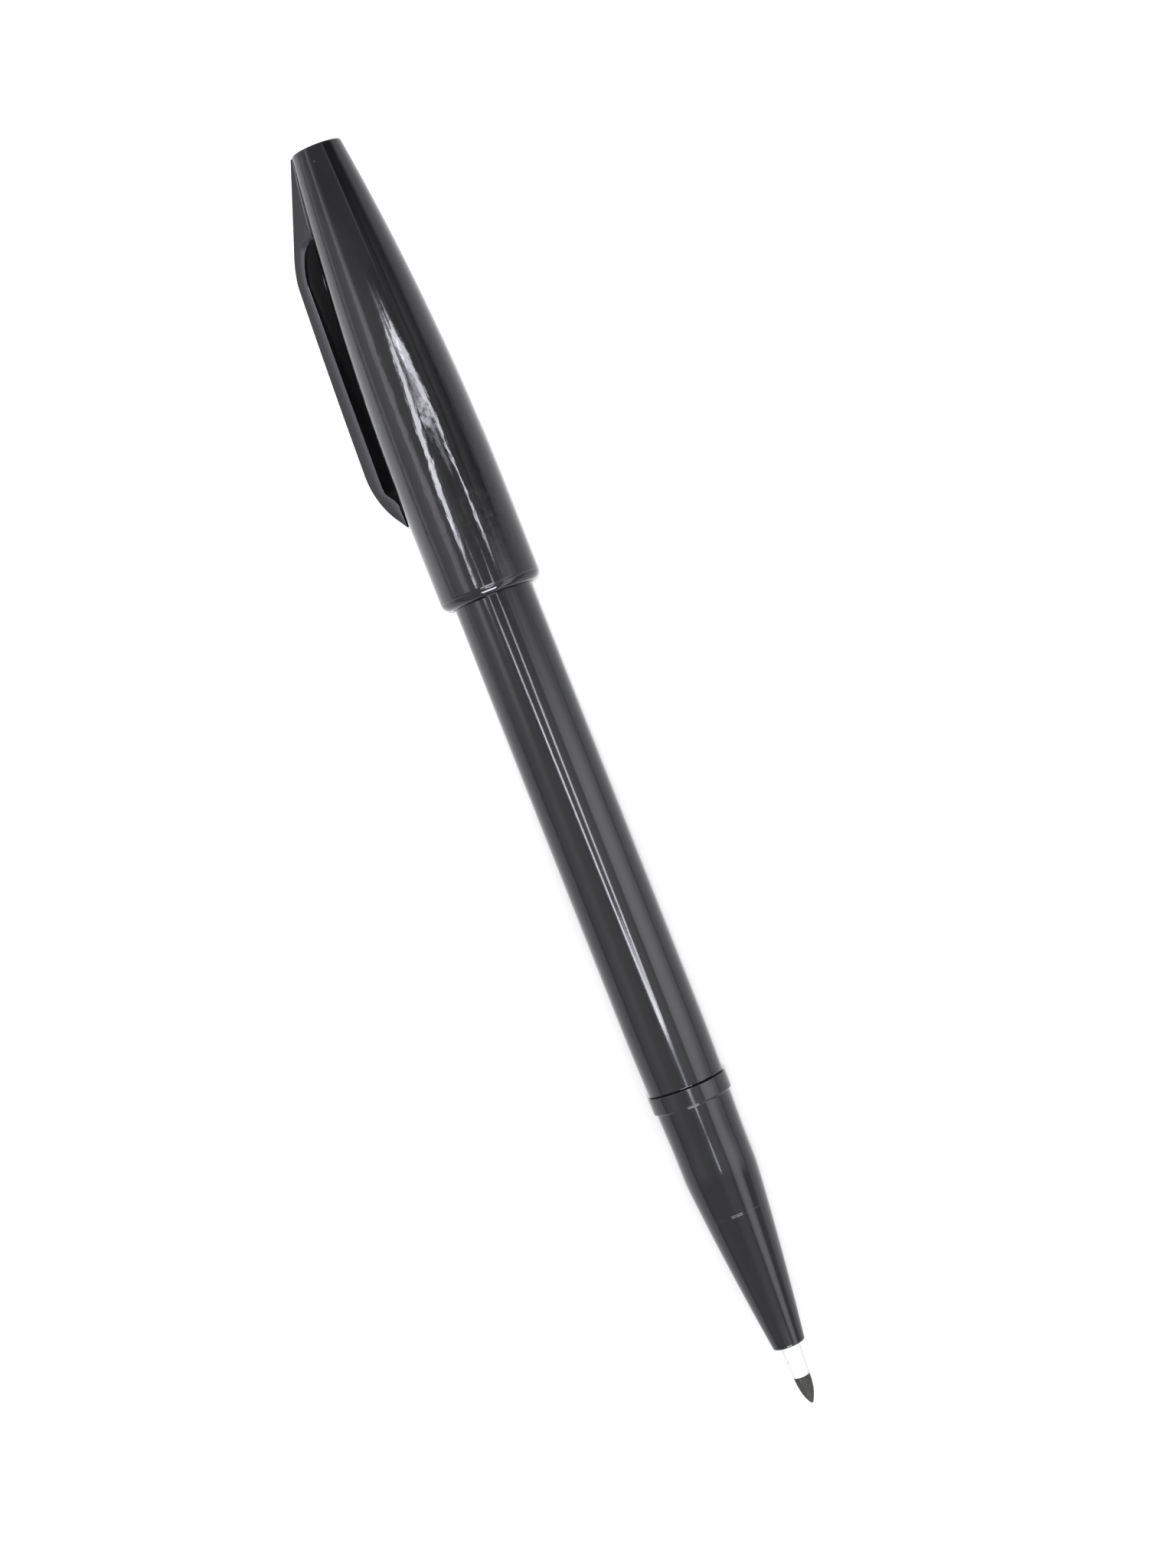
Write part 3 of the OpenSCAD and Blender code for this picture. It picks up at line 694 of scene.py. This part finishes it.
def ink_fibre():
    """The reservoir's bonded fibres, soaked dark, running along the core."""
    s = Shader("ink_core_fibre", Roughness=0.8, IOR=1.4)
    strands = s.noise(4200.0, 4.0, 0.7, (0.05, 1, 1))
    s.set("Base Color", s.ramp(strands, [(0.35, (0.010, 0.010, 0.013, 1)), (0.7, (0.07, 0.07, 0.08, 1))]))
    s.set("Normal", s.bump(strands, 0.00006))
    return s.material


def film():
    """Thin clear film round the core, with faint lengthwise creases."""
    s = Shader("reservoir_film_clear", Roughness=0.15, IOR=1.5, Alpha=0.45)
    crease = s.noise(2600.0, 3.0, 0.6, (0.04, 1, 1))
    s.set("Base Color", s.ramp(crease, [(0.3, (0.74, 0.76, 0.79, 1)), (0.7, (0.86, 0.88, 0.90, 1))]))
    s.set("Normal", s.bump(crease, 0.00002))
    return s.material


def floor_paper():
    """Plain paper with the faintest mottling, a mid grey that the lamps bring up to white."""
    s = Shader("studio_paper", Roughness=0.9, Specular_IOR_Level=0.1)
    fibre = s.noise(60.0, 4.0, 0.6)
    s.set("Base Color", s.ramp(fibre, [(0.3, (*[PAPER - 0.01] * 3, 1)), (0.7, (*[PAPER + 0.01] * 3, 1))]))
    return s.material


# Brightness of the surround by degrees from straight up, with the clip's side negative: beyond
# the cap's top, over the cap, over the barrel, and beyond the tip
CROWN_SKY = ((-90, 1.9), (-80, 1.3), (-68, 1.0), (-58, 1.0), (-52, 2.6), (-46, 1.1), (-38, 0.6), (-28, 0.5),
             (12, 0.5), (27, 0.55), (31, 1.4), (35, 0.05), (68, 0.05), (76, 0.5), (84, 1.2), (90, 1.5))
CAP_SKY = ((-90, 2.0), (-80, 1.1), (-70, 1.3), (-60, 1.6), (-53, 3.3), (-46, 3.0), (-41, 1.1), (-31, 1.0),
           (-16, 0.9), (6, 0.45), (30, 0.45), (40, 0.7), (46, 0.35), (53, 0.8), (62, 0.5), (73, 0.3),
           (82, 0.8), (90, 1.3))
PEN_SKY = ((-90, 0.7), (-72, 1.1), (-55, 1.4), (-35, 1.1), (-17, 1.0), (-6, 1.3), (6, 1.5), (20, 1.5),
           (31, 1.2), (38, 3.0), (52, 3.3), (64, 2.9), (76, 2.0), (90, 1.0))
NOSE_SKY = ((-90, 0.6), (-70, 0.9), (-40, 0.9), (-17, 0.9), (0, 1.2), (16, 1.2), (30, 0.9), (38, 2.6),
            (50, 3.0), (60, 2.2), (68, 0.7), (80, 0.7), (90, 0.8))
# Where along the pen, from -1 at the cap's end to 1 at the tip's, one of them turns into the next
SKY_TURNS = (((-0.36, -0.24), CAP_SKY), ((-0.045, 0.03), PEN_SKY), ((0.13, 0.26), NOSE_SKY))

# The lamps hang this high over the paper, and their ends are (x, y) from the pen's middle, all in
# metres. Those that run along the barrel stand on the clip's side and, mirrored, on the other,
# with a share of the full brightness for each side
LAMP_HEIGHT = 0.40
BARREL_LAMP_W = 0.026
BARREL_LAMPS = (
    (0.55, 0.5, ((-0.031, -0.088), (-0.024, -0.084))),
    (0.8, 0.7, ((-0.021, -0.082), (-0.010, -0.075))),
    (1.0, 0.8, ((-0.007, -0.073), (0.025, -0.057), (0.058, -0.043), (0.082, -0.004))),
)
# Chains of lamps end to end: a name, a width, a share of the full brightness and the corners
LAMP_CHAINS = (
    ("cap_left", 0.036, 1.0, ((-0.142, -0.020), (-0.089, -0.133), (-0.066, -0.155), (-0.050, -0.205),
                              (-0.041, -0.200))),
    ("cap_right", 0.034, 1.0, ((-0.150, 0.060), (-0.120, 0.160), (-0.089, 0.212), (-0.041, 0.226))),
    *((f"barrel_left_{k}", BARREL_LAMP_W, share, route)
      for k, (share, _, route) in enumerate(BARREL_LAMPS)),
    *((f"barrel_right_{k}", BARREL_LAMP_W, share, tuple((x, -y) for x, y in route))
      for k, (_, share, route) in enumerate(BARREL_LAMPS)),
)
# Single lamps: a name, both ends, a width, a share of the full brightness and a colour
LAMP_PATCHES = (
    ("flame_top", (-0.152, 0.046), (-0.136, 0.040), 0.060, 1.2, (1, 1, 1)),
    ("flame_middle", (-0.134, 0.050), (-0.111, 0.035), 0.160, 0.22, (1, 1, 1)),
    ("flame_foot", (-0.103, -0.020), (-0.108, 0.140), 0.010, 1.0, (1, 1, 1)),
    ("barrel_end", (0.048, 0.0), (0.080, 0.0), 0.028, 0.55, (1, 1, 1)),
    ("collar_spot", (0.108, 0.0), (0.120, 0.0), 0.026, 0.6, (1, 1, 1)),
    ("grip_spot", (0.094, 0.0), (0.108, 0.0), 0.046, 0.18, (0.85, 0.95, 1.1)),
)
# Far beyond the tip, where the cap's rounded mouth mirrors it
MOUTH_LAMP = (0.300, -0.030), (0.620, -0.030), 0.300, 1.3
# The paper's own grey, and the lamps straight above it that are left out of the reflections: a
# name, the middle, the height, the size of the lamp, the width of its beam, or none for a lamp
# that lights all round, and the brightness that it adds to the paper
PAPER = 0.45
WASHES = (
    ("wash_all", (0.0, 0.0), 1.5, 0.15, None, 0.50),
    ("wash_cap", (-0.065, -0.035), 1.5, 0.05, 0.13, 0.9),
)


# ---------------------------------------------------------------- settings


class PenFinish(bpy.types.PropertyGroup):
    """Colours and gloss of the pen's plastics."""

    black: FloatVectorProperty(name="Black", description="Colour of the black moulding", subtype="COLOR",
                               size=3, min=0, max=1, default=(0.0018, 0.0018, 0.002))
    gloss: FloatProperty(name="Roughness", description="Roughness of the polished moulding",
                         min=0.02, max=0.6, default=0.07)
    wave: FloatProperty(name="Waviness", description="Height of the soft waves in the moulded walls",
                        min=0, max=0.0001, default=0.000012, precision=6, unit="LENGTH")


class PenClip(bpy.types.PropertyGroup):
    """Sizes of the clip's edges."""

    edge: FloatProperty(name="Outer edge", description="Radius of the clip's outer edges, in mm",
                        min=0.05, max=0.6, default=0.32)
    inner_edge: FloatProperty(name="Inner edge", description="Radius of the clip's inner edges, in mm",
                              min=0.02, max=0.4, default=0.12)


class PenStudio(bpy.types.PropertyGroup):
    """Camera distance and light levels of the studio."""

    height: FloatProperty(name="Camera height", description="Height of the camera above the pen's axis",
                          min=0.1, max=2, default=0.422, unit="LENGTH")
    lens: FloatProperty(name="Lens", description="Focal length of the camera, in mm",
                        min=20, max=200, default=80.95)
    sky: FloatProperty(name="Surround", description="Brightness of the white surround",
                       min=0, max=4, default=1.0)
    strips: FloatProperty(name="Strip lights", description="Radiance of the narrow overhead strips",
                          min=0, max=200, default=16.0)


# ---------------------------------------------------------------- operators


def black_of(context, name, wave=1.0, peel=0.0):
    """The black moulding in the panel's colour and gloss."""
    finish = context.scene.pen_finish
    return black_plastic(name, tuple(finish.black) + (1.0,), finish.gloss, finish.wave * wave, peel)


class PEN_OT_cap(bpy.types.Operator):
    """Builds the cap's shell with its flat top, long arc, rounded mouth and grip ring, and the
    small moulding mark near its top"""

    bl_idname = "pen.cap"
    bl_label = "Cap"

    def execute(self, context):
        peel = 0.000016
        black = black_of(context, "cap_black_plastic", peel=peel)
        cap = turned("cap_body", cap_profile(), [black], cap_ripple, turns=288)
        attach(cap, "cap")
        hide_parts("cap_shell")
        mark_r, dome, root, at, aside, middle_r = 0.16, 0.05, -0.2, CAP_TOP - 1.95, 0.69, 3.4
        profile = [(0, dome), *arc((0, 0), mark_r, 60, 0, 8), (mark_r, root), (0, root)]
        mark = turned("cap_gate_mark", profile, [black], turns=24)
        lean = math.asin(aside / middle_r)
        out = Vector((0, -math.sin(lean), math.cos(lean)))
        spot = Vector(PEN_ORIGIN) + TO_CAP * at * MM + out * float(cap_radius(at)) * MM
        turn = Vector(to_frame([(0, 0, 1)])[0] - to_frame([(0, 0, 0)])[0]).rotation_difference(out)
        mark.data.transform(Matrix.Translation(spot) @ turn.to_matrix().to_4x4()
                            @ Matrix.Translation(-Vector(PEN_ORIGIN)))
        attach(mark, "cap")
        return {"FINISHED"}


class PEN_OT_clip(bpy.types.Operator):
    """Builds the clip as one moulding from its wedge in the cap to its foot, and its soft corners"""

    bl_idname = "pen.clip"
    bl_label = "Clip"

    def execute(self, context):
        sizes = context.scene.pen_clip
        black = black_of(context, "clip_black_plastic")
        inner, outer = clip_outlines()
        clip = banded("clip_moulding", inner, outer, CLIP_W, sizes.edge, sizes.inner_edge, [black])
        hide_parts("cap_clip")
        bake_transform(clip)
        top, window = CAP_TOP - 0.35, CAP_TOP - 9.9
        for side, name in ((1, "clip_corner_upper"), (-1, "clip_corner_lower")):
            points = fillet_tube(lambda z: np.interp(-z, -outer[:, 1], outer[:, 0]), top, window, side)
            corner = closed_tube(name, points, [black])
            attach(corner, "cap")
        return {"FINISHED"}


class PEN_OT_barrel(bpy.types.Operator):
    """Builds the barrel tube and the plug in its tail"""

    bl_idname = "pen.barrel"
    bl_label = "Barrel"

    def execute(self, context):
        black = black_of(context, "barrel_black_plastic", 0.6)
        for name, profile, node in (("barrel_body", barrel_profile(), "barrel_tube"),
                                    ("tail_plug", plug_profile(), "rear_plug")):
            piece = turned(name, profile, [black])
            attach(piece, "barrel")
            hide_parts(node)
        return {"FINISHED"}


class PEN_OT_section(bpy.types.Operator):
    """Builds the grip section with its collar, cap seat and hairline"""

    bl_idname = "pen.section"
    bl_label = "Grip section"

    def execute(self, context):
        black = black_of(context, "section_black_plastic", 0.7)
        piece = turned("grip_body", section_profile(), [black])
        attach(piece, "barrel")
        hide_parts("grip_section")
        return {"FINISHED"}


class PEN_OT_tip(bpy.types.Operator):
    """Builds the white holder and the felt tip it carries"""

    bl_idname = "pen.tip"
    bl_label = "Tip and holder"

    def execute(self, context):
        holder = turned("holder_nozzle", holder_profile(), [white_plastic()], turns=96)
        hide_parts("tip_holder")
        nib = turned("felt_nib", nib_profile(), [felt()], nib_fibres, turns=180)
        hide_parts("fibre_tip")
        for piece in (holder, nib):
            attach(piece, "barrel")
        return {"FINISHED"}


class PEN_OT_inside(bpy.types.Operator):
    """Finishes the pieces inside the pen: the inner cap, the ink core and its film"""

    bl_idname = "pen.inside"
    bl_label = "Inside pieces"

    def execute(self, context):
        for node, material in (("inner_cap", seal_plastic()), ("ink_reservoir", ink_fibre()),
                               ("reservoir_film", film())):
            slots = frame["nodes"][node].data.materials
            slots.clear()
            slots.append(material)
        return {"FINISHED"}


class PEN_OT_studio(bpy.types.Operator):
    """Sets the paper floor, the white surround, the lights and the camera"""

    bl_idname = "pen.studio"
    bl_label = "Studio"

    def execute(self, context):
        settings = context.scene.pen_studio
        self.floor()
        self.surround(settings.sky)
        self.lights(settings.strips)
        self.camera(settings)
        context.scene.view_settings.view_transform = "Standard"
        return {"FINISHED"}

    def floor(self):
        """A wide sheet that touches the cap's widest ring and the collar, as the table does."""
        under_collar, reach = COLLAR_BACK - 1, 3.0
        touch, front = TIP_X - CAP_WIDEST * MM, TIP_X - under_collar * MM
        slope = (CAP_R - COLLAR_R) * MM / (front - touch)
        points = [(x, y, slope * (x - touch)) for x, y in
                  ((-reach, -reach), (reach, -reach), (reach, reach), (-reach, reach))]
        mesh = bpy.data.meshes.new("paper")
        mesh.from_pydata(points, [], [(0, 1, 2, 3)])
        mesh.materials.append(floor_paper())
        paper = bpy.data.objects.new("paper", mesh)
        bpy.context.scene.collection.objects.link(paper)

    def surround(self, level):
        """The white surround. Its brightness is set by the angle round the pen's axis, straight up
        in the middle of each ramp, once for each of four stretches of the room, and the ramps turn
        into one another by the direction along the pen."""
        world = bpy.data.worlds.new("white_surround")
        sky = NodeTree(world)
        way = sky.parts(sky.nodes.new("ShaderNodeTexCoord").outputs["Generated"])
        share = sky.between(sky.maths("ARCTAN2", way["Y"], way["Z"]), -math.pi / 2, math.pi / 2, 0, 1)
        light = self.sky_ramp(sky, share, CROWN_SKY)
        for (low, high), stops in SKY_TURNS:
            turn = sky.between(way["X"], low, high, 0, 1)
            light = self.sky_blend(sky, turn, light, self.sky_ramp(sky, share, stops))
        back = sky.nodes["Background"]
        back.inputs["Strength"].default_value = level
        sky.links.new(light, back.inputs["Color"])
        bpy.context.scene.world = world

    def sky_ramp(self, sky, share, stops):
        """A soft ramp from (degrees from straight up, brightness) stops."""
        greys = [(degrees / 180 + 0.5, (light, light, light, 1)) for degrees, light in stops]
        output = sky.ramp(share, greys)
        output.node.color_ramp.interpolation = "EASE"
        return output

    def sky_blend(self, sky, share, first, second):
        """One brightness turning into another as share goes from 0 to 1."""
        node = sky.nodes.new("ShaderNodeMix")
        node.data_type = "RGBA"
        for socket, value in ((0, share), (6, first), (7, second)):
            sky.links.new(value, node.inputs[socket])
        return node.outputs[2]

    def strip(self, name, start, end, width, radiance, colour=(1, 1, 1)):
        """A flat lamp over the pen, from one (x, y) to another. It faces a point on the pen's axis
        that lies nearer to the middle of the pen than the lamp does."""
        nearer = 0.4
        start, end = (Vector((x, AXIS_AT.y + y, LAMP_HEIGHT)) for x, y in (start, end))
        middle = (start + end) / 2
        along = (end - start).normalized()
        face = (Vector((middle.x * nearer, AXIS_AT.y, AXIS_AT.z)) - middle).normalized()
        back = -(face - along * face.dot(along)).normalized()
        side = back.cross(along)
        light = bpy.data.lights.new(name, "AREA")
        light.shape = "RECTANGLE"
        light.size, light.size_y = (end - start).length, width
        light.energy = radiance * math.pi * light.size * light.size_y
        light.color = colour
        obj = bpy.data.objects.new(name, light)
        obj.matrix_world = Matrix((
            (along.x, side.x, back.x, middle.x), (along.y, side.y, back.y, middle.y),
            (along.z, side.z, back.z, middle.z), (0, 0, 0, 1)))
        bpy.context.scene.collection.objects.link(obj)
        return obj

    def lights(self, radiance):
        """The overhead lamps: two chains of strips whose reflections run down the cap and meet in
        a bright patch near its middle, two that run down the barrel and meet before the collar,
        small soft lamps for the collar and the grip, a far one for the cap's mouth, which lights
        nothing else, and the washes that light the paper."""
        for name, width, share, route in LAMP_CHAINS:
            for k, (start, end) in enumerate(zip(route[:-1], route[1:])):
                self.strip(f"{name}_{k}", start, end, width, radiance * share)
        for name, start, end, width, share, colour in LAMP_PATCHES:
            self.strip(name, start, end, width, radiance * share, colour)
        start, end, width, share = MOUTH_LAMP
        self.strip("mouth_arc", start, end, width, radiance * share).visible_diffuse = False
        for wash in WASHES:
            self.wash(*wash)

    def wash(self, name, middle, height, size, beam, added):
        """A small overhead lamp that only lights matt surfaces, everywhere or in a soft round
        patch. A spot lamp's power counts as if it shone all round, so it takes four times as much."""
        light = bpy.data.lights.new(name, "SPOT" if beam else "AREA")
        light.energy = added * math.pi**2 * height**2 / PAPER
        if beam:
            light.energy *= 4
            light.shadow_soft_size = size / 2
            light.spot_size = 2 * math.atan(beam / 2 / height)
            light.spot_blend = 1.0
        else:
            light.size = size
        obj = bpy.data.objects.new(name, light)
        obj.location = (middle[0], AXIS_AT.y + middle[1], height)
        obj.visible_glossy = obj.visible_camera = False
        bpy.context.scene.collection.objects.link(obj)

    def camera(self, settings):
        """Looks down on the lying pen, foot of the view a little towards the cap; the pen runs
        down the picture at the stated lean, felt tip at the lower right."""
        lean, foot_x, aim_x, aside = math.radians(21.58), -0.01413, 0.00147, 0.00227
        place = Vector((foot_x, AXIS_AT.y + aside, AXIS_AT.z + settings.height))
        aim = Vector((aim_x, AXIS_AT.y + aside, AXIS_AT.z))
        look = (aim - place).normalized()
        to_tip = -TO_CAP
        down_pen = (to_tip - look * to_tip.dot(look)).normalized()
        across = (-look).cross(down_pen)
        right = math.sin(lean) * down_pen + math.cos(lean) * across
        up = -(math.cos(lean) * down_pen - math.sin(lean) * across)
        data = bpy.data.cameras.new("camera")
        data.lens = settings.lens
        data.sensor_fit = "AUTO"
        data.sensor_width = 36
        data.clip_start, data.clip_end = 0.01, 20
        camera = bpy.data.objects.new("camera", data)
        camera.matrix_world = Matrix((
            (right.x, up.x, -look.x, place.x), (right.y, up.y, -look.y, place.y),
            (right.z, up.z, -look.z, place.z), (0, 0, 0, 1)))
        bpy.context.scene.collection.objects.link(camera)
        bpy.context.scene.camera = camera


class PEN_PT_panel(bpy.types.Panel):
    """Lists the pen's settings and its builders"""

    bl_idname = "PEN_PT_panel"
    bl_label = "Brush Pen"
    bl_space_type = "VIEW_3D"
    bl_region_type = "UI"
    bl_category = "Brush Pen"

    def draw(self, context):
        for group in (context.scene.pen_finish, context.scene.pen_clip, context.scene.pen_studio):
            for key in group.__annotations__:
                self.layout.prop(group, key)
        for operator in OPERATORS:
            self.layout.operator(operator.bl_idname)


OPERATORS = (PEN_OT_studio, PEN_OT_cap, PEN_OT_clip, PEN_OT_barrel, PEN_OT_section, PEN_OT_tip,
             PEN_OT_inside)
CLASSES = (PenFinish, PenClip, PenStudio, *OPERATORS, PEN_PT_panel)


def register():
    for cls in CLASSES:
        bpy.utils.register_class(cls)
    bpy.types.Scene.pen_finish = PointerProperty(type=PenFinish)
    bpy.types.Scene.pen_clip = PointerProperty(type=PenClip)
    bpy.types.Scene.pen_studio = PointerProperty(type=PenStudio)


def unregister():
    del bpy.types.Scene.pen_studio, bpy.types.Scene.pen_clip, bpy.types.Scene.pen_finish
    for cls in reversed(CLASSES):
        bpy.utils.unregister_class(cls)


def main():
    """Registers the add-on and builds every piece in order."""
    register()
    bpy.ops.pen.studio()
    bpy.ops.pen.cap()
    bpy.ops.pen.clip()
    bpy.ops.pen.barrel()
    bpy.ops.pen.section()
    bpy.ops.pen.tip()
    bpy.ops.pen.inside()


if __name__ == "__main__":
    main()
